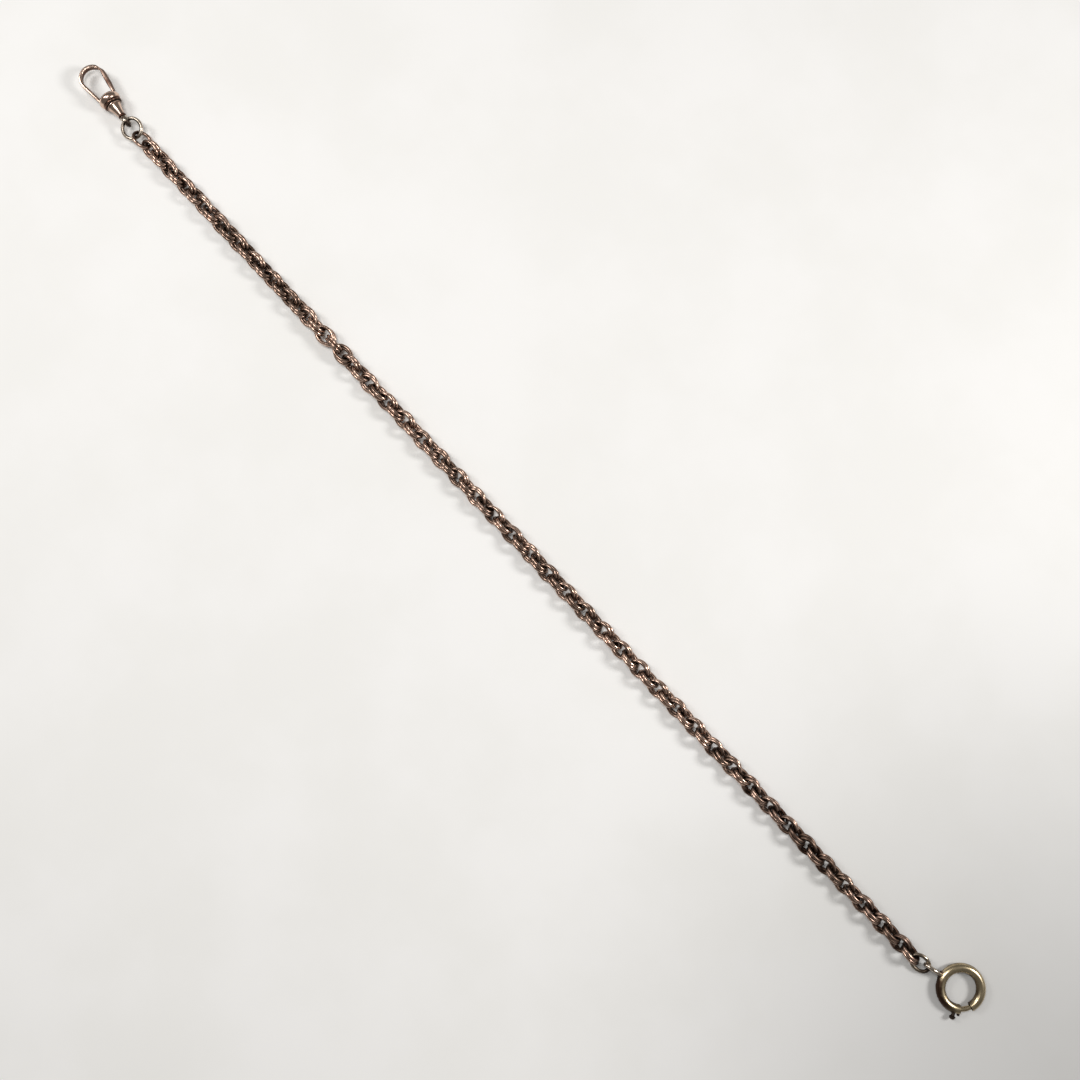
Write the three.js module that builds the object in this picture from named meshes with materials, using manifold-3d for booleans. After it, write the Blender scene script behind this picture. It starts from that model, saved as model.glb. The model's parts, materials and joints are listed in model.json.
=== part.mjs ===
// Pocket watch chain: a swivel hook, a double-link cable chain and a spring ring.
// Millimetres, +Z up. The chain lies along +X on the plane Z = 0, swivel end first.
import * as THREE from 'three';
import { mergeVertices } from 'three/addons/utils/BufferGeometryUtils.js';
import Module from 'manifold-3d';

const wasm = await Module();
wasm.setup();

const DEG = Math.PI / 180;

// ---- Driving dimensions ----
const PITCH = 3.35; // from one link pair to the next
const PAIR_COUNT = 85;
const PAIRS_PER_NODE = 2;
const LINK = { length: 5.3, width: 4.4, wire: 0.75 };
const JUMP_RING = { length: 5.7, width: 5.7, wire: 0.7 };
const TOP_LINK = { length: 5.7, width: 4.9, wire: 0.75 };
const END_LINK = { length: 6.0, width: 4.6, wire: 0.75 };
const TOP_LINK_STEP = 3.55; // from the top link's middle to the first pair's
const END_LINK_STEP = 3.5; // from the last pair's middle to the end link's
const SPREAD = 0.26; // how much further apart the two pairs of one node stand, so that they meet
const WIRE_SIDES = 8;
const RING_STATIONS = 14;

const FIRST_PAIR_X = 26.95;
const CHAIN_HALF = ((PAIR_COUNT - 1) * PITCH) / 2;
const CHAIN_MIDDLE_X = FIRST_PAIR_X + CHAIN_HALF;
const BOW = 0.55; // how far the chain's ends stand off the line through its middle

// The links alternate a quarter turn, and the whole chain rolls over once along its way
const LINK_LEAN = 45;
const ROLL_OVER = { from: 16.5, to: 25.5, angle: -100 };

// ---- Solid helpers ----

/** A three.js geometry as a manifold solid. */
function solidOf(geometry) {
  const plain = geometry.clone();
  plain.deleteAttribute('normal');
  plain.deleteAttribute('uv');
  const welded = mergeVertices(plain, 1e-5);
  return new wasm.Manifold(new wasm.Mesh({
    numProp: 3,
    vertProperties: new Float32Array(welded.attributes.position.array),
    triVerts: new Uint32Array(welded.index.array),
  }));
}

/** A manifold solid as a flat-shaded three.js geometry. */
function geometryOf(solid) {
  const mesh = solid.getMesh();
  const geometry = new THREE.BufferGeometry();
  const positions = new Float32Array(mesh.numVert * 3);
  for (let v = 0; v < mesh.numVert; v += 1) {
    for (let axis = 0; axis < 3; axis += 1) {
      positions[3 * v + axis] = mesh.vertProperties[v * mesh.numProp + axis];
    }
  }
  geometry.setAttribute('position', new THREE.BufferAttribute(positions, 3));
  geometry.setIndex(new THREE.BufferAttribute(new Uint32Array(mesh.triVerts), 1));
  return geometry;
}

/** Joins geometries into one solid. */
function joined(...geometries) {
  return geometryOf(geometries.map(solidOf).reduce((sum, next) => sum.add(next)));
}

/** Cuts every tool out of a geometry. */
function cut(geometry, ...tools) {
  const whole = solidOf(geometry);
  return geometryOf(tools.map(solidOf).reduce((rest, tool) => rest.subtract(tool), whole));
}

/**
 * A swept solid. Each station is { centre, out, up, section }, where section lists
 * [along out, along up] points that run the same way round at every station.
 * A closed sweep joins the last station to the first; an open one gets flat ends.
 */
function sweep(stations, closed) {
  const sides = stations[0].section.length;
  const positions = [];
  for (const { centre, out, up, section } of stations) {
    for (const [a, b] of section) {
      const point = centre.clone().addScaledVector(out, a).addScaledVector(up, b);
      positions.push(point.x, point.y, point.z);
    }
  }
  const index = [];
  const spans = closed ? stations.length : stations.length - 1;
  for (let i = 0; i < spans; i += 1) {
    const here = i * sides;
    const there = ((i + 1) % stations.length) * sides;
    for (let j = 0; j < sides; j += 1) {
      const next = (j + 1) % sides;
      index.push(here + j, there + next, there + j, here + j, here + next, there + next);
    }
  }
  if (!closed) {
    const last = (stations.length - 1) * sides;
    for (let j = 1; j < sides - 1; j += 1) {
      index.push(0, j + 1, j, last, last + j, last + j + 1);
    }
  }
  const geometry = new THREE.BufferGeometry();
  geometry.setAttribute('position', new THREE.Float32BufferAttribute(positions, 3));
  geometry.setIndex(index);
  return facingOut(geometry);
}

/** Turns a closed geometry's faces outward if its volume reads as negative. */
function facingOut(geometry) {
  const p = geometry.attributes.position;
  const index = geometry.index.array;
  const corner = [new THREE.Vector3(), new THREE.Vector3(), new THREE.Vector3()];
  let volume = 0;
  for (let f = 0; f < index.length; f += 3) {
    corner.forEach((point, k) => point.fromBufferAttribute(p, index[f + k]));
    volume += corner[0].dot(corner[1].clone().cross(corner[2]));
  }
  if (volume < 0) {
    for (let f = 0; f < index.length; f += 3) {
      [index[f], index[f + 1]] = [index[f + 1], index[f]];
    }
  }
  return geometry;
}

/** A regular polygon of a wire's section, half wide by half high. */
function wireSection(halfWide, halfHigh, sides) {
  return Array.from({ length: sides }, (_, k) => {
    const turn = (2 * Math.PI * (k + 0.5)) / sides;
    return [halfWide * Math.cos(turn), halfHigh * Math.sin(turn)];
  });
}

/** Two wires side by side, each nearly as high as it is wide, with a groove where they meet. */
function pairSection(wire) {
  const r = wire / 2;
  const edge = 1.75 * r;
  const rim = 0.95 * r;
  const groove = 0.55 * r;
  return [[rim, -edge], [groove, 0], [rim, edge], [-rim, edge], [-groove, 0], [-rim, -edge]];
}

/** A closed oval link in the local XY plane, long along X: two half circles and two short straights. */
function ovalLink({ length, width, wire }, section, stations) {
  const radius = (width - wire) / 2;
  const shift = (length - width) / 2;
  const up = new THREE.Vector3(0, 0, 1);
  return sweep(Array.from({ length: stations }, (_, k) => {
    const out = outward((360 * k) / stations);
    const centre = out.clone().multiplyScalar(radius);
    if (Math.abs(out.x) > 1e-6) {
      centre.x += shift * Math.sign(out.x);
    }
    return { centre, out, up, section };
  }), true);
}

/** A round solid about the local X axis, from [x, radius] points. */
function turned(profile, sides) {
  const points = profile.map(([x, radius]) => new THREE.Vector2(radius, x));
  const geometry = new THREE.LatheGeometry(points, sides);
  geometry.rotateZ(-Math.PI / 2);
  geometry.deleteAttribute('normal');
  geometry.deleteAttribute('uv');
  return facingOut(dropSlivers(mergeVertices(geometry, 1e-5)));
}

/** Removes triangles that use one corner twice, as a lathe makes on its axis. */
function dropSlivers(geometry) {
  const old = Array.from(geometry.index.array);
  const kept = [];
  for (let f = 0; f < old.length; f += 3) {
    const [a, b, c] = old.slice(f, f + 3);
    if (a !== b && b !== c && c !== a) {
      kept.push(a, b, c);
    }
  }
  geometry.setIndex(kept);
  return geometry;
}

/** A round rod along Z. */
function rodZ(radius, length, sides, x, y) {
  const geometry = new THREE.CylinderGeometry(radius, radius, length, sides);
  geometry.rotateX(Math.PI / 2);
  geometry.translate(x, y, 0);
  return geometry;
}

/** A box from its low and high corners. */
function boxBetween(low, high) {
  const size = high.map((value, axis) => value - low[axis]);
  const geometry = new THREE.BoxGeometry(...size);
  geometry.translate(...low.map((value, axis) => value + size[axis] / 2));
  return geometry;
}

/** A level unit vector at a turn about the local Z axis, in degrees. */
function outward(turn) {
  return new THREE.Vector3(Math.cos(turn * DEG), Math.sin(turn * DEG), 0);
}

/** A part of a ring about the local Z axis: stations from one angle to another, in degrees. */
function arcSweep(radius, from, to, steps, section) {
  const up = new THREE.Vector3(0, 0, 1);
  return sweep(Array.from({ length: steps + 1 }, (_, k) => {
    const out = outward(from + ((to - from) * k) / steps);
    return { centre: out.clone().multiplyScalar(radius), out, up, section };
  }), false);
}

// ---- Materials ----

function metal(name, color, roughness) {
  const material = new THREE.MeshStandardMaterial({ color, roughness, metalness: 1 });
  material.name = name;
  return material;
}

const ROSE_GOLD = metal('rose_gold', 0xb0806a, 0.3);
const TARNISHED = metal('tarnished_rose_gold', 0x8a6a5a, 0.42);
const GREY_STEEL = metal('grey_steel', 0x77706a, 0.45);
const YELLOW_BRASS = metal('yellow_brass', 0xa8915a, 0.32);
const SPRING_STEEL = metal('spring_steel', 0x8c8c8c, 0.4);

const chain = new THREE.Group();
chain.name = 'pocket_watch_chain';

function addPiece(name, geometry, material) {
  geometry.computeVertexNormals();
  const mesh = new THREE.Mesh(geometry, material);
  mesh.name = name;
  chain.add(mesh);
}

/** Leans a link about its length, turns it in plan and moves it to its place. */
function placed(geometry, { roll = 0, pitch = 0, heading = 0, at }) {
  geometry.rotateX(roll * DEG);
  geometry.rotateY(pitch * DEG);
  geometry.rotateZ(heading * DEG);
  geometry.translate(...at);
  return geometry;
}

// ---- The chain of double links ----

function smoothStep(value) {
  const t = Math.min(Math.max(value, 0), 1);
  return t * t * (3 - 2 * t);
}

/** How far a link pair leans about the chain's length, in degrees. */
function leanOf(index) {
  const rolledOver = smoothStep((index - ROLL_OVER.from) / (ROLL_OVER.to - ROLL_OVER.from));
  return (index % 2 ? -LINK_LEAN : LINK_LEAN) + ROLL_OVER.angle * rolledOver;
}

/** The height of a leaning pair's middle when its lowest wire touches the plane Z = 0. */
function restHeight(lean) {
  const acrossLink = (LINK.width - LINK.wire) / 2;
  const betweenWires = LINK.wire / 2;
  return acrossLink * Math.abs(Math.sin(lean * DEG))
    + betweenWires * Math.abs(Math.cos(lean * DEG)) + LINK.wire / 2;
}

/** Where a link pair stands: its middle, its heading and its lean. */
function pairPlace(index) {
  const inNode = index % PAIRS_PER_NODE;
  const spread = index < PAIR_COUNT - 1 ? (inNode - 0.5) * SPREAD : 0;
  const x = FIRST_PAIR_X + index * PITCH + spread;
  const along = (x - CHAIN_MIDDLE_X) / CHAIN_HALF;
  const lean = leanOf(index);
  return {
    at: [x, BOW * along * along, Math.max(restHeight(lean), restHeight(lean + 90))],
    heading: Math.atan((2 * BOW * along) / CHAIN_HALF) / DEG,
    roll: lean,
  };
}

function addChain() {
  const stations = 10;
  for (let first = 0; first < PAIR_COUNT; first += PAIRS_PER_NODE) {
    const pairs = [];
    for (let index = first; index < Math.min(first + PAIRS_PER_NODE, PAIR_COUNT); index += 1) {
      pairs.push(placed(ovalLink(LINK, pairSection(LINK.wire), stations), pairPlace(index)));
    }
    const number = String(first / PAIRS_PER_NODE + 1).padStart(2, '0');
    addPiece(`link_pairs_${number}`, joined(...pairs), TARNISHED);
  }
}

// ---- The swivel: local X runs from the hook to the chain, X = 0 at the collar's front face ----

const SWIVEL = { at: [9.05, 1.5, 2.85], heading: -5.2 };
const LOOP = { centre: -6.3, radius: 3.1, armTurn: 81.3, endTurn: 117 };
const HOOK = { rootX: 0.6, rootHigh: 0.62, wide: 0.45, high: 0.85, noseShare: 0.12, thinning: 0.1 };
const COLLAR = { radius: 2.85, face: 2.3, length: 2.1 };
const FLANGE = { radius: 2.5, length: 0.55 };
const SEAM = 0.02; // between pieces that are pressed face to face
const FLANGE_START = COLLAR.length + SEAM;
const BARREL_START = FLANGE_START + FLANGE.length + SEAM;
const BARREL = { wide: 1.95, narrow: 0.92, length: 4.0, lip: 0.2, bore: 0.52, hollow: 0.97, shoulder: 1.6 };
const PIN = { x: 0.55, y: 2.1, radius: 0.25, length: 3.2, clearance: 0.05, sides: 12 };
const GATE = { tip: 0.32, wide: 0.6, heel: 0.45, high: 0.7, tipThinning: 0.1, gap: 0.26, knuckle: 0.55 };
const SLOT = { back: 1.3, low: 1.45, high: 0.78 };
const SOCKET = { depth: 0.8, halfWide: 0.75, halfHigh: 0.8 };
const LEAF = { thick: 0.12, halfHigh: 0.5, clearance: 0.04 };
const EYE = { x: 8.3, ring: 1.17, wire: 0.84, post: 0.42, head: 0.85, headLength: 0.6, endPlay: 0.1 };
const TURNED_SIDES = 16;
const PAST_FACE = 1; // how far a cutting tool stands out past the face it starts from

function onSwivel(geometry) {
  return placed(geometry, SWIVEL);
}

/** A point of the teardrop loop's middle line, at a turn round its round end. */
function loopPoint(turn) {
  return outward(turn).multiplyScalar(LOOP.radius).add(new THREE.Vector3(LOOP.centre, 0, 0));
}

/** The straight arm runs on from the round end, tangent to it, to the given X. */
function armPoint(side, x) {
  const start = loopPoint(side * LOOP.armTurn);
  const slope = -side / Math.tan(LOOP.armTurn * DEG);
  return new THREE.Vector3(x, start.y + slope * (x - start.x), 0);
}

/** A station of a flat-lying bar: across lies in the loop's plane, square to the way along. */
function barStation(centre, across, halfWide, halfHigh) {
  const up = new THREE.Vector3(0, 0, 1);
  return { centre, out: across, up, section: wireSection(halfWide, halfHigh, 8) };
}

function hookGeometry() {
  const steps = 12;
  const armOut = outward(-LOOP.armTurn);
  const stations = [
    barStation(armPoint(-1, HOOK.rootX), armOut, HOOK.wide, HOOK.rootHigh),
    barStation(armPoint(-1, LOOP.centre / 2), armOut, HOOK.wide, (HOOK.rootHigh + HOOK.high) / 2),
  ];
  for (let k = 0; k <= steps; k += 1) {
    const share = k / steps;
    const turn = -LOOP.armTurn - share * (360 - LOOP.armTurn - LOOP.endTurn);
    const thinner = HOOK.thinning * smoothStep(1 - (1 - share) / HOOK.noseShare);
    stations.push(barStation(loopPoint(turn), outward(turn), HOOK.wide - thinner, HOOK.high - thinner));
  }
  return sweep(stations, false);
}

/** The gate mirrors the hook's straight arm and closes the loop at the hook's nose. */
function gateGeometry() {
  const steps = 5;
  const gapTurn = GATE.gap / LOOP.radius / DEG;
  const stations = [];
  for (let k = 0; k <= steps; k += 1) {
    const share = k / steps;
    const turn = LOOP.endTurn - gapTurn - share * (LOOP.endTurn - gapTurn - LOOP.armTurn);
    const wide = GATE.tip + (GATE.wide - GATE.tip) * smoothStep(share);
    const high = GATE.high - GATE.tipThinning * (1 - share);
    stations.push(barStation(loopPoint(turn), outward(turn), wide, high));
  }
  const armOut = outward(LOOP.armTurn);
  stations.push(barStation(armPoint(1, LOOP.centre / 2), armOut, GATE.wide, GATE.high));
  stations.push(barStation(new THREE.Vector3(PIN.x, PIN.y, 0), armOut, GATE.heel, GATE.high));
  const knuckle = rodZ(GATE.knuckle, 2 * GATE.high, PIN.sides, PIN.x, PIN.y);
  return cut(joined(sweep(stations, false), knuckle), pinBore());
}

/** The tool that cuts the gate pin's hole. */
function pinBore() {
  return rodZ(PIN.radius + PIN.clearance, 2 * COLLAR.radius, PIN.sides, PIN.x, PIN.y);
}

function collarGeometry() {
  const steps = 6;
  const profile = [[0, 0]];
  for (let k = 0; k <= steps; k += 1) {
    const share = k / steps;
    const swell = Math.sin(Math.PI * share);
    profile.push([COLLAR.length * share, COLLAR.face + (COLLAR.radius - COLLAR.face) * swell]);
  }
  profile.push([COLLAR.length, 0]);
  const slotTop = COLLAR.radius + PAST_FACE;
  const slot = boxBetween([-PAST_FACE, SLOT.low, -SLOT.high], [SLOT.back, slotTop, SLOT.high]);
  return cut(turned(profile, TURNED_SIDES), slot, pinBore(), hookSocket());
}

/** The hole in the collar's face that the hook's root is set in. */
function hookSocket() {
  const root = armPoint(-1, 0);
  return boxBetween(
    [-PAST_FACE, root.y - SOCKET.halfWide, -SOCKET.halfHigh],
    [SOCKET.depth, root.y + SOCKET.halfWide, SOCKET.halfHigh],
  );
}

function barrelGeometry() {
  const end = BARREL_START + BARREL.length;
  const shoulder = BARREL_START + BARREL.shoulder;
  return turned([
    [BARREL_START, BARREL.hollow],
    [BARREL_START, BARREL.wide],
    [BARREL_START + BARREL.lip, BARREL.wide],
    [BARREL_START + 2 * BARREL.lip, BARREL.wide - BARREL.lip],
    [end, BARREL.narrow],
    [end, BARREL.bore],
    [shoulder, BARREL.bore],
    [shoulder, BARREL.hollow],
    [BARREL_START, BARREL.hollow],
  ], TURNED_SIDES);
}

/** The swivel's eye, its post through the barrel and the head that holds it in. */
function eyeGeometry() {
  const headEnd = BARREL_START + BARREL.shoulder - EYE.endPlay;
  const headStart = headEnd - EYE.headLength;
  const post = turned([
    [headStart, 0],
    [headStart, EYE.head],
    [headEnd, EYE.head],
    [headEnd, EYE.post],
    [EYE.x - EYE.ring, EYE.post],
    [EYE.x - EYE.ring, 0],
  ], 12);
  const ring = new THREE.TorusGeometry(EYE.ring, EYE.wire / 2, WIRE_SIDES, RING_STATIONS);
  ring.rotateX(Math.PI / 2);
  ring.translate(EYE.x, 0, 0);
  return joined(post, ring);
}

function flangeGeometry() {
  const end = FLANGE_START + FLANGE.length;
  return turned([
    [FLANGE_START, 0],
    [FLANGE_START, FLANGE.radius],
    [end, FLANGE.radius],
    [end, 0],
  ], TURNED_SIDES);
}

/** The leaf spring stands at the back of the gate's slot, behind the gate's knuckle. */
function leafGeometry() {
  const back = SLOT.back - LEAF.clearance;
  return boxBetween(
    [back - LEAF.thick, SLOT.low + LEAF.clearance, -LEAF.halfHigh],
    [back, PIN.y + GATE.heel, LEAF.halfHigh],
  );
}

function addSwivel() {
  addPiece('swivel_hook', onSwivel(hookGeometry()), ROSE_GOLD);
  addPiece('swivel_gate', onSwivel(gateGeometry()), ROSE_GOLD);
  addPiece('gate_pin', onSwivel(rodZ(PIN.radius, PIN.length, PIN.sides, PIN.x, PIN.y)), GREY_STEEL);
  addPiece('gate_spring', onSwivel(leafGeometry()), SPRING_STEEL);
  addPiece('swivel_collar', onSwivel(collarGeometry()), ROSE_GOLD);
  addPiece('swivel_flange', onSwivel(flangeGeometry()), GREY_STEEL);
  addPiece('swivel_barrel', onSwivel(barrelGeometry()), ROSE_GOLD);
  addPiece('swivel_eye', onSwivel(eyeGeometry()), GREY_STEEL);
}

// ---- The single links at the two ends ----

/** A place on the swivel's own axis, a distance past the collar's front face. */
function pastCollar(distance, height) {
  const [x, y] = SWIVEL.at;
  const turn = SWIVEL.heading * DEG;
  return [x + distance * Math.cos(turn), y + distance * Math.sin(turn), height];
}

function singleLink(size) {
  return ovalLink(size, wireSection(size.wire / 2, size.wire / 2, WIRE_SIDES), RING_STATIONS);
}

// Where the single links lie, as their chain of contacts leaves them
const JUMP_RING_PLACE = { roll: 15, pitch: 5, heading: SWIVEL.heading, at: pastCollar(10.48, 2.63) };
const TOP_LINK_PLACE = { roll: -35, pitch: 2, heading: -2, at: [FIRST_PAIR_X - TOP_LINK_STEP, 0.52, 2.25] };
const END_LINK_X = pairPlace(PAIR_COUNT - 1).at[0] + END_LINK_STEP;
const END_LINK_PLACE = { roll: 20, pitch: 4, heading: 2, at: [END_LINK_X, 0.68, 1.62] };

function addSingleLinks() {
  addPiece('jump_ring', placed(singleLink(JUMP_RING), JUMP_RING_PLACE), GREY_STEEL);
  addPiece('top_link', placed(singleLink(TOP_LINK), TOP_LINK_PLACE), TARNISHED);
  addPiece('end_link', placed(singleLink(END_LINK), END_LINK_PLACE), GREY_STEEL);
}

// ---- The spring ring: local X runs from its eye to its middle, which is the local origin ----

const RING = { radius: 5.05, tube: 1.2, sides: 12, bore: 0.95, mouthFrom: -28, mouthTo: -60 };
const TUBE_FLAT = RING.tube * Math.cos(Math.PI / RING.sides); // from the tube's middle to its underside
const SPRING_RING = { at: [323.4, 3.7, TUBE_FLAT], heading: 12.3 };
const BOLT = { radius: 0.65, nose: -22, tail: -92 };
const PEG = { turn: -74, radius: 0.36, head: 0.7, reach: 7.9, headLength: 1.1, bevel: 0.15, dome: 0.35 };
const PEG_SLOT = { clearance: 0.15, depth: 3 };
const LIP = { turn: -63, reach: 6.75, halfWide: 0.3, halfHigh: 0.45 };
const TRAVEL = 36; // degrees that the bolt draws back
const COIL = { radius: 0.66, wire: 0.2, from: -93, to: -222, turns: 9 };
const COIL_STOP = { radius: 0.78, from: COIL.to - 1, to: COIL.to - 9 };
const RING_EYE = { length: 5.3, height: 3.1, wire: 1.0, rise: 0.6, overlap: 0.35, clearance: 0.1 };

function tubeGeometry() {
  const last = RING.mouthTo + 360;
  const pastEnd = 2;
  const skin = wireSection(RING.tube, RING.tube, RING.sides);
  const hollow = wireSection(RING.bore, RING.bore, WIRE_SIDES);
  const whole = arcSweep(RING.radius, RING.mouthFrom, last, 20, skin);
  const bore = arcSweep(RING.radius, RING.mouthFrom - pastEnd, last + pastEnd, 16, hollow);
  const halfWide = PEG.radius + PEG_SLOT.clearance;
  const halfTurn = (halfWide / RING.radius) / DEG;
  const { depth } = PEG_SLOT;
  const slotSection = [[0, -halfWide], [depth, -halfWide], [depth, halfWide], [0, halfWide]];
  const slot = arcSweep(RING.radius, PEG.turn + halfTurn, PEG.turn - TRAVEL - halfTurn, 6, slotSection);
  return cut(joined(whole, lipGeometry()), bore, slot);
}

/** The fixed lip by the tube's mouth, which the other finger pushes against. */
function lipGeometry() {
  const root = RING.radius + RING.bore;
  const lip = boxBetween([root, -LIP.halfWide, -LIP.halfHigh], [LIP.reach, LIP.halfWide, LIP.halfHigh]);
  lip.rotateZ(LIP.turn * DEG);
  return lip;
}

function boltGeometry() {
  return arcSweep(RING.radius, BOLT.nose, BOLT.tail, 9, wireSection(BOLT.radius, BOLT.radius, WIRE_SIDES));
}

/** The thumb peg: a round stem out through the tube's slot, with a domed head. */
function pegGeometry() {
  const stemStart = RING.radius + BOLT.radius + SEAM;
  const headStart = PEG.reach - PEG.headLength;
  const peg = turned([
    [stemStart, 0],
    [stemStart, PEG.radius],
    [headStart, PEG.radius],
    [headStart + PEG.bevel, PEG.head],
    [PEG.reach - PEG.dome, PEG.head],
    [PEG.reach, PEG.head / 2],
    [PEG.reach, 0],
  ], 12);
  peg.rotateZ(PEG.turn * DEG);
  return peg;
}

/** The coil spring that pushes the bolt shut, wound round the tube's middle line. */
function coilGeometry() {
  const stepsPerTurn = 6;
  const steps = COIL.turns * stepsPerTurn;
  const middle = (share) => {
    const winding = 2 * Math.PI * COIL.turns * share;
    const out = outward(COIL.from + (COIL.to - COIL.from) * share);
    const side = out.clone().multiplyScalar(Math.cos(winding));
    side.z = Math.sin(winding);
    return { centre: out.multiplyScalar(RING.radius).addScaledVector(side, COIL.radius), side };
  };
  const stations = Array.from({ length: steps + 1 }, (_, k) => {
    const { centre, side } = middle(k / steps);
    const ahead = middle((k + 0.5) / steps).centre.sub(middle((k - 0.5) / steps).centre).normalize();
    const up = side.clone().cross(ahead).normalize();
    return { centre, out: side, up, section: wireSection(COIL.wire / 2, COIL.wire / 2, 4) };
  });
  return sweep(stations, false);
}

/** The oval eye stands upright and ends against the tube's outer wall. */
function ringEyeGeometry() {
  const oval = { length: RING_EYE.length, width: RING_EYE.height, wire: RING_EYE.wire };
  const eye = singleLink(oval);
  eye.rotateX(Math.PI / 2);
  eye.translate(-(RING.radius + RING.tube - RING_EYE.overlap + RING_EYE.length / 2), 0, RING_EYE.rise);
  const clear = RING.tube + RING_EYE.clearance;
  return cut(eye, arcSweep(RING.radius, 140, 220, 8, wireSection(clear, clear, TURNED_SIDES)));
}

function onSpringRing(geometry) {
  return placed(geometry, SPRING_RING);
}

function addSpringRing() {
  const stopSection = wireSection(COIL_STOP.radius, COIL_STOP.radius, WIRE_SIDES);
  const plug = arcSweep(RING.radius, COIL_STOP.from, COIL_STOP.to, 2, stopSection);
  addPiece('ring_tube', onSpringRing(tubeGeometry()), YELLOW_BRASS);
  addPiece('ring_bolt', onSpringRing(boltGeometry()), YELLOW_BRASS);
  addPiece('thumb_peg', onSpringRing(pegGeometry()), YELLOW_BRASS);
  addPiece('ring_coil_spring', onSpringRing(coilGeometry()), SPRING_STEEL);
  addPiece('ring_coil_stop', onSpringRing(plug), YELLOW_BRASS);
  addPiece('ring_eye', onSpringRing(ringEyeGeometry()), GREY_STEEL);
}

addSwivel();
addSingleLinks();
addChain();
addSpringRing();

// The origin is the middle of the chain's box, on the plane it lies on
const box = new THREE.Box3().setFromObject(chain);
chain.position.set(-(box.min.x + box.max.x) / 2, -(box.min.y + box.max.y) / 2, -box.min.z);

export default chain;
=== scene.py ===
import json
import math
import random

import bmesh
import bpy
from mathutils import Matrix, Vector


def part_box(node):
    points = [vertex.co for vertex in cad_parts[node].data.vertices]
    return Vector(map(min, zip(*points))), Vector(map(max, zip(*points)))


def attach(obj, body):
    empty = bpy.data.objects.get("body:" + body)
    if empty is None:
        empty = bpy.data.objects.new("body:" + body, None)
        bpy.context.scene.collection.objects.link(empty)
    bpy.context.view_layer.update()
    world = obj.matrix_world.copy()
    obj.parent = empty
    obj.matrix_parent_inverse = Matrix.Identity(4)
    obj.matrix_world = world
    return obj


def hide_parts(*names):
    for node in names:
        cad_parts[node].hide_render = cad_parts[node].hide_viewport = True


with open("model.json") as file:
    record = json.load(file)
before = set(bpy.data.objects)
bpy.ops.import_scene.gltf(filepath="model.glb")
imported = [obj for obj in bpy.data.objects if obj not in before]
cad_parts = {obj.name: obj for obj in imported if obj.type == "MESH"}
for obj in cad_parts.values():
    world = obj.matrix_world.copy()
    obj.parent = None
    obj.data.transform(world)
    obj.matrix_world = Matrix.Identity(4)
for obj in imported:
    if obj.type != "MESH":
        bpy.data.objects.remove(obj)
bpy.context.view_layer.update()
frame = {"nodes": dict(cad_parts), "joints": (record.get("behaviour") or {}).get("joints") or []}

MM = 0.001
UP = Vector((0, 0, 1))

# ---- Driving dimensions ----
PITCH = 3.35  # from one link pair to the next
PAIR_COUNT = 85
PAIRS_PER_NODE = 2
LINK = {"length": 5.85, "width": 4.55, "wire": 0.86}
LINK_STAGGER = 0.22  # how far each ring of a pair stands along the chain from the pair's middle
JUMP_RING = {"length": 6.1, "width": 6.1, "wire": 0.95}
TOP_LINK = {"length": 5.9, "width": 5.0, "wire": 0.92}
END_LINK = {"length": 6.1, "width": 4.7, "wire": 0.95}
LINK_LEAN = 45
DULL_END = {"from": 58, "over": 14, "amount": 0.28}  # the pairs near the clasp are darker
ROLL_OVER = {"from": 16.5, "to": 25.5, "angle": -100}

SPREAD = {  # how far the hand-made links stray, in degrees and millimetres
    "lean": 4,
    "tip": 1.5,
    "ring_turn": 5,
    "ring_shift": 0.08,
    "ring_side": 0.1,
    "polish": 0.12,
}
RING_STANDOFF = 0.51  # each ring of a pair stands this share of its wire from the pair's middle

chance = random.Random(11)


# ---- Places, read from the frame ----

def box_middle(node):
    low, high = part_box(node)
    return (low + high) / 2


def joint_named(name):
    return next(joint for joint in frame["joints"] if joint["name"] == name)


def axes(origin, along):
    """A placement with local X along a level direction and local Z up."""
    along = along.normalized()
    side = UP.cross(along)
    matrix = Matrix((along, side, UP)).transposed().to_4x4()
    matrix.translation = origin
    return matrix


def tilted(origin, roll, pitch, heading):
    """A placement leaned about local X, then pitched about Y, then turned in plan, in degrees."""
    lean = Matrix.Rotation(math.radians(roll), 4, "X")
    nod = Matrix.Rotation(math.radians(pitch), 4, "Y")
    turn = Matrix.Rotation(math.radians(heading), 4, "Z")
    return Matrix.Translation(origin) @ turn @ nod @ lean


def smooth_step(value):
    t = min(max(value, 0.0), 1.0)
    return t * t * (3 - 2 * t)


# ---- Mesh helpers: every shape is made in its own local frame, in millimetres ----

def new_piece(name, mesh, place, material, sharp_angle=40):
    """Adds a mesh object whose place is in its vertices, smooth except at its sharp edges."""
    mesh.transform(place @ Matrix.Scale(MM, 4))
    mesh.validate()
    mesh.shade_smooth()
    mesh.set_sharp_from_angle(angle=math.radians(sharp_angle))
    mesh.materials.append(material)
    piece = bpy.data.objects.new(name, mesh)
    bpy.context.scene.collection.objects.link(piece)
    return piece


def mesh_of(name, points, faces, wear):
    mesh = bpy.data.meshes.new(name)
    mesh.from_pydata(points, [], faces)
    layer = mesh.attributes.new("wear", "FLOAT", "POINT")
    layer.data.foreach_set("value", wear)
    facing = bmesh.new()
    facing.from_mesh(mesh)
    bmesh.ops.recalc_face_normals(facing, faces=facing.faces)
    facing.to_mesh(mesh)
    facing.free()
    return mesh


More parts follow.
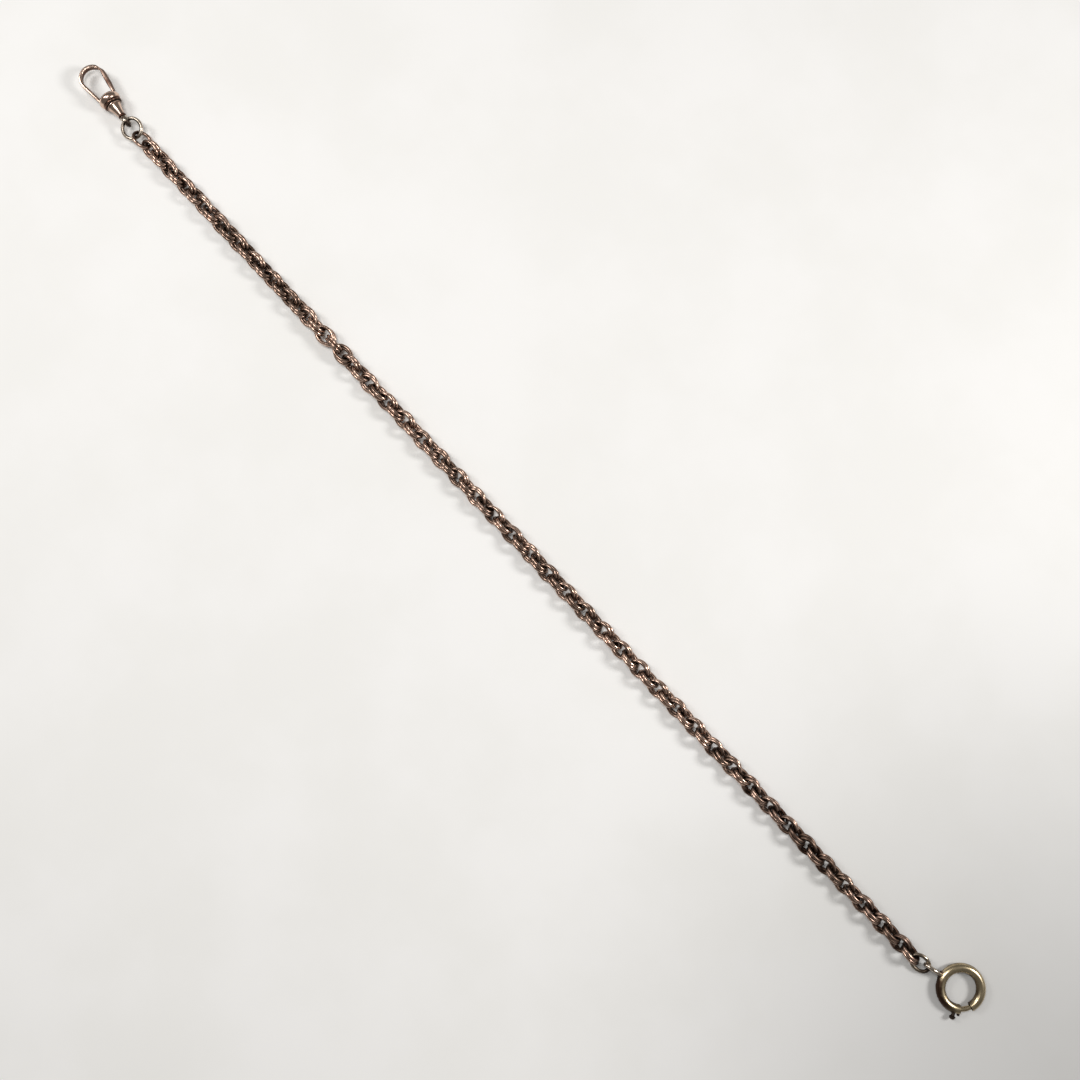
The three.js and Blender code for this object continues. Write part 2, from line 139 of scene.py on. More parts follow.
def loft(stations, closed):
    """Points and faces of a skin over stations that each hold the same number of points."""
    sides = len(stations[0])
    points = [point for station in stations for point in station]
    faces = []
    spans = len(stations) if closed else len(stations) - 1
    for i in range(spans):
        here = i * sides
        there = (i + 1) % len(stations) * sides
        for j in range(sides):
            k = (j + 1) % sides
            faces.append((here + j, here + k, there + k, there + j))
    if not closed:
        faces.append(tuple(range(sides)))
        faces.append(tuple(range(len(points) - sides, len(points))))
    return points, faces


def wire_station(centre, out, up, half_wide, half_high, sides, power=2.0):
    """A section round a point: round at power 2, squarer with soft corners above it."""
    station = []
    for k in range(sides):
        turn = 2 * math.pi * (k + 0.5) / sides
        a = math.copysign(abs(math.cos(turn)) ** (2 / power), math.cos(turn))
        b = math.copysign(abs(math.sin(turn)) ** (2 / power), math.sin(turn))
        station.append(centre + out * (half_wide * a) + up * (half_high * b))
    return station


def oval_stations(size, stations=44, sides=14):
    """A ring of round wire along an ellipse, with a slight swelling at its soldered joint."""
    a = (size["length"] - size["wire"]) / 2
    b = (size["width"] - size["wire"]) / 2
    joint_turn = math.pi / 2
    joint_reach = 0.16
    swelling = 0.06
    ring = []
    for k in range(stations):
        turn = 2 * math.pi * k / stations
        centre = Vector((a * math.cos(turn), b * math.sin(turn), 0))
        out = Vector((math.cos(turn) / a, math.sin(turn) / b, 0)).normalized()
        half = size["wire"] / 2 * (1 + swelling * math.exp(-((turn - joint_turn) / joint_reach) ** 2))
        ring.append(wire_station(centre, out, UP, half, half, sides))
    return ring


def moved(station_list, matrix):
    return [[matrix @ point for point in station] for station in station_list]


def ring_wear(stations):
    """Bright on the outside of a ring's long sides, dark inside it and at its ends."""
    wear = []
    for station in stations:
        centre = sum(station, Vector()) / len(station)
        out = Vector((centre.x, centre.y, 0)).normalized()
        side = smooth_step((abs(centre.y) - 0.4) / 1.2)
        for point in station:
            outside = (point - centre).normalized().dot(out)
            wear.append(0.28 + 0.4 * side + 0.25 * outside)
    return wear


def lathe(name, profile, steps, wear_of):
    """A turned mesh about local X from [x, radius] points, with wear given by x and radius."""
    points = []
    wear = []
    faces = []
    for x, radius in profile:
        for k in range(steps):
            turn = 2 * math.pi * k / steps
            points.append(Vector((x, radius * math.cos(turn), radius * math.sin(turn))))
            wear.append(wear_of(x, radius))
    for i in range(len(profile) - 1):
        for j in range(steps):
            k = (j + 1) % steps
            faces.append((i * steps + j, i * steps + k, (i + 1) * steps + k, (i + 1) * steps + j))
    faces.append(tuple(range(steps)))
    faces.append(tuple(range(len(points) - steps, len(points))))
    return mesh_of(name, points, faces, wear)


def rounded_step(x_from, x_to, radius, corner, steps=4):
    """Profile points of a flat-sided disc with rounded outer corners."""
    profile = [(x_from, radius * 0.1)]
    for k in range(steps + 1):
        turn = math.pi / 2 * k / steps
        profile.append((x_from + corner * (1 - math.cos(turn)), radius - corner * (1 - math.sin(turn))))
    for k in range(steps + 1):
        turn = math.pi / 2 * k / steps
        profile.append((x_to - corner * (1 - math.sin(turn)), radius - corner * (1 - math.cos(turn))))
    profile.append((x_to, radius * 0.1))
    return profile


# ---- Materials ----

def srgb(red, green, blue):
    """A linear colour from display values out of 255."""
    def linear(value):
        value /= 255
        return value / 12.92 if value <= 0.04045 else ((value + 0.055) / 1.055) ** 2.4
    return (linear(red), linear(green), linear(blue), 1.0)


# Painted shade on the card: a dark patch beyond the clasp stands in for the light falling off there.
CARD_PAINTED_SHADE = {"middle": (205, 5, 0), "reach": 160, "amount": 0.4, "colour": srgb(16, 15, 14)}


class Nodes:
    """A material's node tree, with a short call for each kind of node used here."""

    def __init__(self, name):
        self.material = bpy.data.materials.new(name)
        self.material.use_nodes = True
        self.tree = self.material.node_tree
        self.shader = self.tree.nodes["Principled BSDF"]

    def link(self, output, socket):
        self.tree.links.new(output, socket)

    def put(self, socket, value):
        if isinstance(value, bpy.types.NodeSocket):
            self.link(value, socket)
        else:
            socket.default_value = value

    def coordinates(self, stretch=(1, 1, 1)):
        """Object coordinates in millimetres, optionally stretched."""
        place = self.tree.nodes.new("ShaderNodeTexCoord")
        mapping = self.tree.nodes.new("ShaderNodeMapping")
        mapping.inputs["Scale"].default_value = [axis / MM for axis in stretch]
        self.link(place.outputs["Object"], mapping.inputs["Vector"])
        return mapping.outputs["Vector"]

    def noise(self, vector, scale, detail=4.0, roughness=0.6):
        node = self.tree.nodes.new("ShaderNodeTexNoise")
        node.inputs["Scale"].default_value = scale
        node.inputs["Detail"].default_value = detail
        node.inputs["Roughness"].default_value = roughness
        self.link(vector, node.inputs["Vector"])
        return node.outputs["Fac"]

    def attribute(self, name):
        node = self.tree.nodes.new("ShaderNodeAttribute")
        node.attribute_name = name
        return node.outputs["Fac"]

    def math(self, operation, first, second=0.0, clamp=False):
        node = self.tree.nodes.new("ShaderNodeMath")
        node.operation = operation
        node.use_clamp = clamp
        self.put(node.inputs[0], first)
        self.put(node.inputs[1], second)
        return node.outputs[0]

    def remap(self, value, low, high, to_low=0.0, to_high=1.0):
        node = self.tree.nodes.new("ShaderNodeMapRange")
        node.interpolation_type = "SMOOTHSTEP"
        self.put(node.inputs["Value"], value)
        node.inputs["From Min"].default_value = low
        node.inputs["From Max"].default_value = high
        node.inputs["To Min"].default_value = to_low
        node.inputs["To Max"].default_value = to_high
        return node.outputs["Result"]

    def mix(self, factor, first, second):
        node = self.tree.nodes.new("ShaderNodeMix")
        node.data_type = "RGBA"
        self.put(node.inputs["Factor"], factor)
        for socket in node.inputs:
            if socket.type == "RGBA" and socket.name == "A":
                self.put(socket, first)
            if socket.type == "RGBA" and socket.name == "B":
                self.put(socket, second)
        return next(socket for socket in node.outputs if socket.type == "RGBA")

    def bump(self, height, depth, strength):
        """A bump of a given depth in millimetres."""
        node = self.tree.nodes.new("ShaderNodeBump")
        node.inputs["Strength"].default_value = strength
        node.inputs["Distance"].default_value = depth * MM
        self.link(height, node.inputs["Height"])
        self.link(node.outputs["Normal"], self.shader.inputs["Normal"])


def worn_metal(name, bright, tarnish, film, bare=0.0, film_amount=0.5, smooth=0.2, dull=0.42, grit=1.0):
    """
    Old plated metal: bright alloy on the parts that rub against cloth and fingers, brown tarnish
    in the hollows, a cooler film in patches, dark pits, fine scratches and uneven gloss.
    bare moves the whole balance towards bright metal, grit sets how rough the surface is to look at.
    """
    n = Nodes(name)
    place = n.coordinates()
    grain = n.noise(place, 1.4, 4.0, 0.6)
    patches = n.noise(place, 0.11, 3.0, 0.55)
    blotches = n.noise(place, 0.35, 1.5, 0.5)
    specks = n.noise(place, 5.5, 2.0, 0.5)
    wear = n.attribute("wear")
    balance = n.math("ADD", wear, n.math("MULTIPLY", n.math("SUBTRACT", grain, 0.5), 0.5 * grit))
    balance = n.math("ADD", balance, n.math("MULTIPLY", n.math("SUBTRACT", blotches, 0.5), 1.1))
    balance = n.math("ADD", balance, bare)
    polished = n.remap(balance, 0.15, 0.95)
    film_mask = n.math("MULTIPLY", n.remap(patches, 0.47, 0.62), film_amount)
    pits = n.remap(specks, 0.64, 0.72, 0.0, grit)
    colour = n.mix(polished, tarnish, bright)
    colour = n.mix(film_mask, colour, film)
    colour = n.mix(n.math("MULTIPLY", pits, 0.7), colour, tarnish)
    n.link(colour, n.shader.inputs["Base Color"])
    gloss = n.remap(polished, 0.0, 1.0, dull, smooth)
    gloss = n.math("ADD", gloss, n.math("MULTIPLY", n.math("SUBTRACT", grain, 0.5), 0.12 * grit))
    gloss = n.math("ADD", gloss, n.math("MULTIPLY", pits, 0.15), clamp=True)
    n.link(gloss, n.shader.inputs["Roughness"])
    n.shader.inputs["Metallic"].default_value = 1.0
    scratches = n.noise(n.coordinates((0.6, 6.0, 6.0)), 2.6, 3.0, 0.7)
    height = n.math("SUBTRACT", n.math("ADD", grain, n.math("MULTIPLY", scratches, 0.5)), pits)
    n.bump(height, 0.006, 0.35 * grit)
    return n.material


def floor_material():
    """A pale card with faint mottling, and a painted shade beyond the clasp that stands in for the light
    falling off there.
    """
    n = Nodes("pale_card")
    place = n.coordinates()
    mottle = n.noise(place, 0.02, 4.0, 0.55)
    fibres = n.noise(place, 0.9, 3.0, 0.6)
    colour = n.mix(n.remap(mottle, 0.35, 0.65), srgb(242, 240, 236), srgb(246, 244, 241))
    apart = n.tree.nodes.new("ShaderNodeVectorMath")
    apart.operation = "DISTANCE"
    n.link(place, apart.inputs[0])
    apart.inputs[1].default_value = CARD_PAINTED_SHADE["middle"]
    # Painted shade: the card darkens towards the patch's middle and fades out over its reach.
    shade = n.remap(apart.outputs["Value"], 0.0, CARD_PAINTED_SHADE["reach"], CARD_PAINTED_SHADE["amount"], 0.0)
    n.link(n.mix(shade, colour, CARD_PAINTED_SHADE["colour"]), n.shader.inputs["Base Color"])
    n.shader.inputs["Roughness"].default_value = 0.75
    n.shader.inputs["Specular IOR Level"].default_value = 0.25
    n.bump(fibres, 0.02, 0.2)
    return n.material


ROSE_GOLD = worn_metal(
    "worn_rose_gold", srgb(216, 188, 170), srgb(84, 57, 47), srgb(148, 120, 104), bare=0.1, film_amount=0.3,
    grit=0.6)
CHAIN_METAL = worn_metal(
    "tarnished_chain_metal", srgb(196, 165, 147), srgb(58, 41, 33), srgb(108, 89, 75), film_amount=0.5,
    grit=0.12)
GREY_METAL = worn_metal(
    "grey_plate", srgb(198, 184, 168), srgb(58, 46, 39), srgb(120, 107, 94), film_amount=0.5, grit=0.5)
END_METAL = worn_metal(
    "dull_olive_plate", srgb(170, 156, 138), srgb(56, 45, 38), srgb(108, 97, 84), bare=-0.1, grit=0.5)
DARK_METAL = worn_metal(
    "darkened_plate", srgb(140, 108, 92), srgb(44, 34, 30), srgb(84, 74, 66), bare=-0.15, dull=0.55)
BRASS = worn_metal(
    "olive_brass", srgb(206, 188, 154), srgb(66, 48, 37), srgb(150, 134, 108), bare=0.1, film_amount=0.5,
    smooth=0.27, dull=0.46, grit=0.6)
SPRING_METAL = worn_metal(
    "spring_steel_wire", srgb(176, 176, 172), srgb(70, 66, 62), srgb(120, 118, 114))


def finish_piece(piece, body, slot, *nodes):
    """Rides a piece on its body and stands it for its CAD nodes."""
    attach(piece, body)
    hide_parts(*nodes)


# ---- The chain of double links ----

def stray(what):
    return chance.uniform(-SPREAD[what], SPREAD[what])


def lean_of(index):
    rolled = smooth_step((index - ROLL_OVER["from"]) / (ROLL_OVER["to"] - ROLL_OVER["from"]))
    return (-LINK_LEAN if index % 2 else LINK_LEAN) + ROLL_OVER["angle"] * rolled


def pair_place(index, node):
    """A pair's placement: its node's middle, moved to its own side of it, at its own lean."""
    middle = box_middle(node)
    if index < PAIR_COUNT - 1:
        middle.x += (index % PAIRS_PER_NODE - 0.5) * PITCH * MM
    lean = lean_of(index) + stray("lean")
    return tilted(middle, lean, stray("tip"), stray("tip"))


def pair_mesh(name, polish):
    """Two rings of wire side by side, each a little out of true."""
    points = []
    faces = []
    wear = []
    forward = chance.choice((-1, 1))
    for side in (-1, 1):
        ring = oval_stations(LINK)
        wear += [value + polish for value in ring_wear(ring)]
        shift = forward * side * LINK_STAGGER + stray("ring_shift")
        centre = Vector((shift, stray("ring_side"), side * LINK["wire"] * RING_STANDOFF))
        place = tilted(centre, stray("tip"), stray("tip"), stray("ring_turn"))
        ring_points, ring_faces = loft(moved(ring, place), True)
        start = len(points)
        points += ring_points
        faces += [tuple(start + corner for corner in face) for face in ring_faces]
    return mesh_of(name, points, faces, wear)


def add_chain():
    for index in range(PAIR_COUNT):
        node = f"link_pairs_{index // PAIRS_PER_NODE + 1:02d}"
        name = f"link_pair_{index + 1:02d}"
        place = pair_place(index, node)
        dulled = DULL_END["amount"] * smooth_step((index - DULL_END["from"]) / DULL_END["over"])
        polish = stray("polish") - dulled
        piece = new_piece(name, pair_mesh(name, polish), place, CHAIN_METAL)
        finish_piece(piece, node, "tarnished_rose_gold", node)


def add_single_link(name, size, roll, pitch, heading, material, slot):
    ring = oval_stations(size, 56)
    points, faces = loft(ring, True)
    mesh = mesh_of(name + "_wire", points, faces, ring_wear(ring))
    piece = new_piece(name + "_wire", mesh, tilted(box_middle(name), roll, pitch, heading), material)
    finish_piece(piece, name, slot, name)


# ---- The swivel: local X = 0 at the collar's front face, the hook on the -X side ----

SWIVEL_ANCHOR = 6.5  # the eye's joint stands this far behind the collar's front face
LOOP = {"centre": -6.3, "radius": 3.1, "arm_turn": 81.3, "end_turn": 117}
COLLAR = {"radius": 2.85, "face": 2.3, "length": 2.1, "back": 1.9}
FLANGE = {"start": 2.12, "end": 2.67, "radius": 2.5}
BARREL = {"start": 2.69, "end": 6.69, "wide": 1.95, "narrow": 0.92, "lip": 1.05}
PIVOT = Vector((0.55, 2.1, 0))
HOOK = {"wide": 0.45, "high": 0.85, "root_high": 0.62, "root_x": 0.6, "nose_thinning": 0.1}
GATE = {"high": 0.7, "wide": 0.6, "gap": 0.26}
EYE = {"x": 8.3, "ring": 1.17, "wire": 0.84, "post": 0.42, "shoulder": 0.42, "wear": 0.9}


def loop_point(turn):
    angle = math.radians(turn)
    return Vector((
        LOOP["centre"] + LOOP["radius"] * math.cos(angle),
        LOOP["radius"] * math.sin(angle),
        0,
    ))


def arm_point(side, x):
    start = loop_point(side * LOOP["arm_turn"])
    slope = -side / math.tan(math.radians(LOOP["arm_turn"]))
    return Vector((x, start.y + slope * (x - start.x), 0))


def outward(turn):
    return Vector((math.cos(math.radians(turn)), math.sin(math.radians(turn)), 0))


def bar(centre, out, half_wide, half_high):
    return wire_station(centre, out, UP, half_wide, half_high, 20, power=4.5)


def bar_mesh(name, stations, brightness=1.0):
    """An open bar whose top and bottom are worn bright, and whose inner side is darkest."""
    points, faces = loft(stations, False)
    middle = Vector((LOOP["centre"], 0, 0))
    wear = []
    for station in stations:
        centre = sum(station, Vector()) / len(station)
        height = max(point.z for point in station)
        away = (centre - middle).normalized()
        for point in station:
            crest = smooth_step((abs(point.z) / height - 0.55) / 0.3)
            inner = smooth_step(-(point - centre).dot(away) / 0.45)
            wear.append(brightness * (0.25 + 1.0 * crest) - 0.3 * inner)
    return mesh_of(name, points, faces, wear)


def hook_mesh():
    arm_steps = 10
    steps = 56
    out = outward(-LOOP["arm_turn"])
    start = arm_point(-1, HOOK["root_x"])
    tangent_point = loop_point(-LOOP["arm_turn"])
    stations = []
    for k in range(arm_steps):
        share = k / arm_steps
        high = HOOK["root_high"] + (HOOK["high"] - HOOK["root_high"]) * share
        stations.append(bar(start.lerp(tangent_point, share), out, HOOK["wide"], high))
    for k in range(steps + 1):
        share = k / steps
        turn = -LOOP["arm_turn"] - share * (360 - LOOP["arm_turn"] - LOOP["end_turn"])
        thinning = HOOK["nose_thinning"] * smooth_step((share - 0.9) / 0.1)
        wide = HOOK["wide"] - thinning
        stations.append(bar(loop_point(turn), outward(turn), wide, HOOK["high"] - thinning))
    return bar_mesh("swivel_hook_bar", stations)


def gate_mesh():
    """The gate swells in its middle, thins to a point over the hook's nose and to its knuckle."""
    gap_turn = math.degrees(GATE["gap"] / LOOP["radius"])
    first = LOOP["end_turn"] - gap_turn
    stations = []
    steps = 10
    for k in range(steps + 1):
        share = k / steps
        turn = first - share * (first - LOOP["arm_turn"])
        wide = 0.24 + (GATE["wide"] - 0.28) * smooth_step(share)
        stations.append(bar(loop_point(turn), outward(turn), wide, GATE["high"] - 0.12 * (1 - share)))
    out = outward(LOOP["arm_turn"])
    start = loop_point(LOOP["arm_turn"])
    for k in range(1, 13):
        share = k / 12
        wide = 0.56 + 0.06 * math.sin(math.pi * share) - 0.2 * smooth_step((share - 0.4) / 0.6)
        stations.append(bar(start.lerp(PIVOT, share), out, wide, GATE["high"]))
    return bar_mesh("swivel_gate_bar", stations, 0.3)


def collar_mesh():
    steps = 20
    profile = [(0, 0.3)]
    for k in range(steps + 1):
        share = k / steps
        swell = math.sin(math.pi * share) ** 0.8 if 0 < share < 1 else 0
        radius = COLLAR["face"] + (COLLAR["radius"] - COLLAR["face"]) * swell
        profile.append((COLLAR["length"] * share, radius))
    profile.append((COLLAR["length"] + 0.02, COLLAR["back"]))
    profile.append((FLANGE["start"], COLLAR["back"]))

    def wear_of(x, radius):
        return 0.1 + 0.9 * smooth_step((radius - 2.3) / 0.45)
    return lathe("swivel_collar_bead", profile, 64, wear_of)


def barrel_mesh():
    start = BARREL["start"]
    end = BARREL["end"]
    wide = BARREL["wide"]
    narrow = BARREL["narrow"]
    profile = [
        (start, 0.3),
        (start, wide - 0.1),
        (start + 0.08, wide),
        (start + 0.3, wide),
        (start + 0.42, wide - 0.14),
    ]
    cone_start = start + 0.46
    cone_end = end - 0.5
    hollow = 0.08
    steps = 14
    for k in range(steps + 1):
        share = k / steps
        radius = (wide - 0.16) * (1 - share) + narrow * share - hollow * math.sin(math.pi * share)
        profile.append((cone_start + (cone_end - cone_start) * share, radius))
    bead_steps = 6
    for k in range(bead_steps + 1):
        turn = math.pi * k / bead_steps
        radius = narrow + (BARREL["lip"] - narrow) * math.sin(turn)
        profile.append((end - 0.25 - 0.22 * math.cos(turn), radius))
    profile.append((end, 0.45))

    def wear_of(x, radius):
        groove = math.exp(-((x - start - 0.45) / 0.08) ** 2)
        neck = smooth_step((x - end + 0.6) / 0.3)
        return max(0.72 - 0.6 * groove - 0.7 * neck, 0)
    return lathe("swivel_barrel_cone", profile, 64, wear_of)


def eye_mesh():
    """A ring, thicker on its near side, on a beaded post that turns in the barrel's end."""
    end = BARREL["end"]
    profile = [
        (end - 0.4, 0.1),
        (end - 0.4, EYE["post"]),
        (end + 0.04, EYE["post"]),
        (end + 0.1, 0.75),
        (end + 0.25, 0.98),
        (end + 0.5, 1.02),
        (end + 0.72, 0.85),
        (end + 0.82, 0.5),
        (end + 0.84, 0.1),
    ]
    mesh = lathe("swivel_eye_post", profile, 40, lambda x, radius: EYE["wear"])
    stations = []
    steps = 48
    for k in range(steps):
        turn = 2 * math.pi * k / steps
        out = Vector((math.cos(turn), 0, math.sin(turn)))
        centre = Vector((EYE["x"], 0, 0)) + out * EYE["ring"]
        half = EYE["wire"] / 2
        shoulder = EYE["shoulder"] * smooth_step((1.1 - math.cos(turn)) / 1.2)
        stations.append(wire_station(centre, out, Vector((0, 1, 0)), half, half + shoulder, 18))
    points, faces = loft(stations, True)
    # Painted shade: the ring's far half is darkened to stand in for the shaded hole beyond the eye's ball,
    # and the near half keeps the eye's wear.
    wear = [EYE["wear"] - 0.8 * smooth_step((point.x - EYE["x"]) / 0.6) for point in points]
    ring = mesh_of("swivel_eye_ring", points, faces, wear)
    whole = bmesh.new()
    whole.from_mesh(mesh)
    whole.from_mesh(ring)
    whole.to_mesh(mesh)
    whole.free()
    bpy.data.meshes.remove(ring)
    return mesh


def swivel_place():
    anchor = Vector(joint_named("eye_swivel")["pos_m"])
    along = (Vector(joint_named("jump_ring_hinge")["pos_m"]) - anchor).normalized()
    return axes(anchor - along * SWIVEL_ANCHOR * MM, along)


def add_swivel():
    place = swivel_place()

    def add(name, mesh, material, body, slot, node, sharp_angle=40):
        piece = new_piece(name, mesh, place, material, sharp_angle)
        finish_piece(piece, body, slot, node)

    flange = lathe(
        "swivel_flange_disc", rounded_step(FLANGE["start"], FLANGE["end"], FLANGE["radius"], 0.25), 64,
        lambda x, radius: 0.2 + 0.7 * smooth_step((radius - 2.1) / 0.4))
    add("swivel_hook_bar", hook_mesh(), ROSE_GOLD, "swivel_body", "rose_gold", "swivel_hook", 60)
    add("swivel_gate_bar", gate_mesh(), ROSE_GOLD, "gate", "rose_gold", "swivel_gate", 60)
    add("swivel_collar_bead", collar_mesh(), ROSE_GOLD, "swivel_body", "rose_gold", "swivel_collar")
    add("swivel_flange_disc", flange, DARK_METAL, "swivel_body", "grey_steel", "swivel_flange")
    add("swivel_barrel_cone", barrel_mesh(), ROSE_GOLD, "swivel_body", "rose_gold", "swivel_barrel")
    add("swivel_eye_shank", eye_mesh(), GREY_METAL, "swivel_eye", "grey_steel", "swivel_eye")


# ---- The spring ring: local X runs from its eye to its middle, the local origin ----

RING = {"radius": 5.05, "tube": 1.18, "wall": 0.16, "from": -28, "to": 300}
BOLT = {"radius": 0.62, "nose": -23, "tail": -92}
PEG = {"turn": -74, "neck": 0.45, "head": 0.76, "reach": 7.9}
LIP = {"turn": -63, "root": 6.05, "reach": 6.75, "half_wide": 0.3, "half_high": 0.45}
SEAM = {"depth": 0.1, "half_turn": 0.13}  # the tube's rolled seam; its half width in radians
GRIME = {"turn": 235, "half_arc": 75, "fade": 45, "amount": 0.9}  # the tube's dark outer side
RING_EYE = {"length": 5.3, "height": 3.1, "wire": 1.0, "rise": 0.6}


def ring_place():
    middle = Vector(joint_named("bolt_travel")["pos_m"])
    along = middle - Vector(joint_named("spring_ring_hinge")["pos_m"])
    along.z = 0
    return axes(middle, along)


def tube_mesh():
    """A hollow C of tube with a rolled seam along its inside and an open mouth."""
    steps = 96
    sides = 32
    seam_turn = math.pi
    stations = []
    wear = []
    inner_start = RING["tube"] - RING["wall"]
    turns = [RING["from"] + (RING["to"] - RING["from"]) * k / steps for k in range(steps + 1)]

    def section(turn, radius, seam_depth):
        out = outward(turn)
        centre = out * RING["radius"]
        station = []
        for k in range(sides):
            angle = 2 * math.pi * k / sides
            groove = seam_depth * math.exp(-((abs(angle - seam_turn)) / SEAM["half_turn"]) ** 2)
            sideways = out * ((radius - groove) * math.cos(angle))
            upward = UP * ((radius - groove) * math.sin(angle))
            station.append(centre + sideways + upward)
        return station

    def outside_wear(station, turn):
        centre = outward(turn) * RING["radius"]
        values = []
        for point in station:
            rise = (point - centre).z / RING["tube"]
            outer = (point - centre).dot(outward(turn)) / RING["tube"]
            reach = smooth_step((GRIME["half_arc"] - abs(turn - GRIME["turn"])) / GRIME["fade"])
            grimy = reach * smooth_step((outer + 0.35) / 0.5)
            inner = smooth_step((-outer - 0.3) / 0.5)
            crest = smooth_step(rise + 0.1)
            values.append(0.3 + 0.65 * crest - GRIME["amount"] * grimy - 0.45 * inner)
        return values

    for turn in turns:
        station = section(turn, RING["tube"], SEAM["depth"])
        stations.append(station)
        wear += outside_wear(station, turn)
    for turn in reversed(turns):
        station = section(turn, inner_start, 0.0)
        stations.append(station)
        wear += [0.05] * sides
    points, faces = loft(stations, True)
    return mesh_of("ring_tube_shell", points, faces, wear)


def arc_mesh(name, radius, first, last, steps, half, wear_value):
    stations = []
    for k in range(steps + 1):
        turn = first + (last - first) * k / steps
        end_round = min(k, steps - k) / 3
        size = half * math.sqrt(max(1 - max(1 - end_round, 0) ** 2, 0.05))
        stations.append(wire_station(outward(turn) * radius, outward(turn), UP, size, size, 18))
    points, faces = loft(stations, False)
    return mesh_of(name, points, faces, [wear_value] * len(points))


def peg_mesh():
    start = RING["radius"] + BOLT["radius"] * 0.9
    head = PEG["reach"] - 0.95
    profile = [
        (start, 0.1),
        (start, PEG["neck"]),
        (head, PEG["neck"]),
        (head + 0.08, PEG["head"] * 0.85),
    ]
    steps = 8
    for k in range(steps + 1):
        turn = math.pi / 2 * k / steps
        radius = PEG["head"] * math.cos(turn) ** 0.6 + 0.02
        profile.append((head + 0.2 + 0.75 * math.sin(turn) ** 1.5, radius))

    def wear_of(x, radius):
        return 0.2 + 0.5 * smooth_step((x - head) / 0.6)
    mesh = lathe("thumb_peg_button", profile, 32, wear_of)
    mesh.transform(Matrix.Rotation(math.radians(PEG["turn"]), 4, "Z"))
    return mesh


def lip_mesh():
    """The fixed lip by the tube's mouth, with its corners rubbed round."""
    out = outward(LIP["turn"])
    side = outward(LIP["turn"] + 90)
    steps = 8
    stations = []
    for k in range(steps + 1):
        share = k / steps
        centre = out * (LIP["root"] + (LIP["reach"] - LIP["root"]) * share)
        size = 1 - 0.45 * max(share - 0.6, 0) ** 2 / 0.16
        stations.append(wire_station(
            centre, side, UP, LIP["half_wide"] * size, LIP["half_high"] * size, 16, power=4))
    points, faces = loft(stations, False)
    return mesh_of("ring_end_lip", points, faces, [0.25] * len(points))


def ring_eye_mesh():
    size = {"length": RING_EYE["length"], "width": RING_EYE["height"], "wire": RING_EYE["wire"]}
    upright = Matrix.Rotation(math.pi / 2, 4, "X")
    shift = Matrix.Translation((
        -(RING["radius"] + RING["tube"] - 0.35 + RING_EYE["length"] / 2), 0, RING_EYE["rise"]))
    stations = moved(oval_stations(size, 48, 14), shift @ upright)
    points, faces = loft(stations, True)
    wear = [0.3 + 0.6 * smooth_step((point.z - 0.6) / 1.2) for point in points]
    return mesh_of("ring_eye_loop", points, faces, wear)


def solder_mesh():
    """The lump of solder that holds the eye on the tube."""
    lump = bmesh.new()
    bmesh.ops.create_icosphere(lump, subdivisions=4, radius=1.0)
    for vertex in lump.verts:
        ripple = 1 + 0.08 * math.sin(5 * vertex.co.y + 1.3) * math.cos(4 * vertex.co.z)
        vertex.co = Vector((vertex.co.x * 0.55, vertex.co.y * 0.95, vertex.co.z * 0.85)) * ripple
        vertex.co += Vector((-(RING["radius"] + RING["tube"] - 0.1), 0, 0.1))
    points = [vertex.co.copy() for vertex in lump.verts]
    faces = [tuple(vertex.index for vertex in face.verts) for face in lump.faces]
    lump.free()
    return mesh_of("eye_solder", points, faces, [0.25 + 0.3 * smooth_step(point.z) for point in points])


def add_spring_ring():
    place = ring_place()
    bolt = arc_mesh("ring_bolt_pin", RING["radius"], BOLT["nose"], BOLT["tail"], 30, BOLT["radius"], 0.85)
    pieces = (
        ("ring_tube_shell", tube_mesh(), BRASS, "spring_ring", "yellow_brass", "ring_tube"),
        ("ring_bolt_pin", bolt, BRASS, "bolt", "yellow_brass", "ring_bolt"),
        ("thumb_peg_button", peg_mesh(), DARK_METAL, "bolt", "yellow_brass", "thumb_peg"),
        ("ring_eye_loop", ring_eye_mesh(), GREY_METAL, "spring_ring", "grey_steel", "ring_eye"),
        ("ring_end_lip", lip_mesh(), DARK_METAL, "spring_ring", "yellow_brass", None),
        ("eye_solder", solder_mesh(), DARK_METAL, "spring_ring", "grey_steel", None),
    )
    for name, mesh, material, body, slot, node in pieces:
        piece = new_piece(name, mesh, place, material)
        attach(piece, body)
        if node:
            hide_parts(node)


# ---- CAD nodes that stay, with a better finish ----

def dress_node(name, material):
    node = frame["nodes"][name]
    node.data.materials.clear()
    node.data.materials.append(material)


# ---- Floor, lights and camera ----

CAMERA_PLACE = Vector((0.02182, -0.01811, 0.32164))
CAMERA_AIM = Vector((0.00562, 0.00111, 0.0))
CAMERA_UP = Vector((-0.72541, 0.68399, 0.0))
FIELD_OF_VIEW = 46.4
FLOOR_SIZE = 3.0
SOFTBOXES = (  # name, place, aim, width in metres, power in watts
    ("window", (0.34, 0.36, 0.36), (0.06, 0.0, 0.0), 0.16, 1.85),
    ("second_window", (-0.44, -0.14, 0.42), (-0.1, -0.04, 0.0), 0.2, 1.05),
    ("ceiling", (-0.12, -0.02, 0.5), (-0.04, -0.01, 0.0), 0.2, 1.05),
)
SKY_COLOUR = (1.0, 0.985, 0.96, 1.0)
SKY_STRENGTH = 0.17


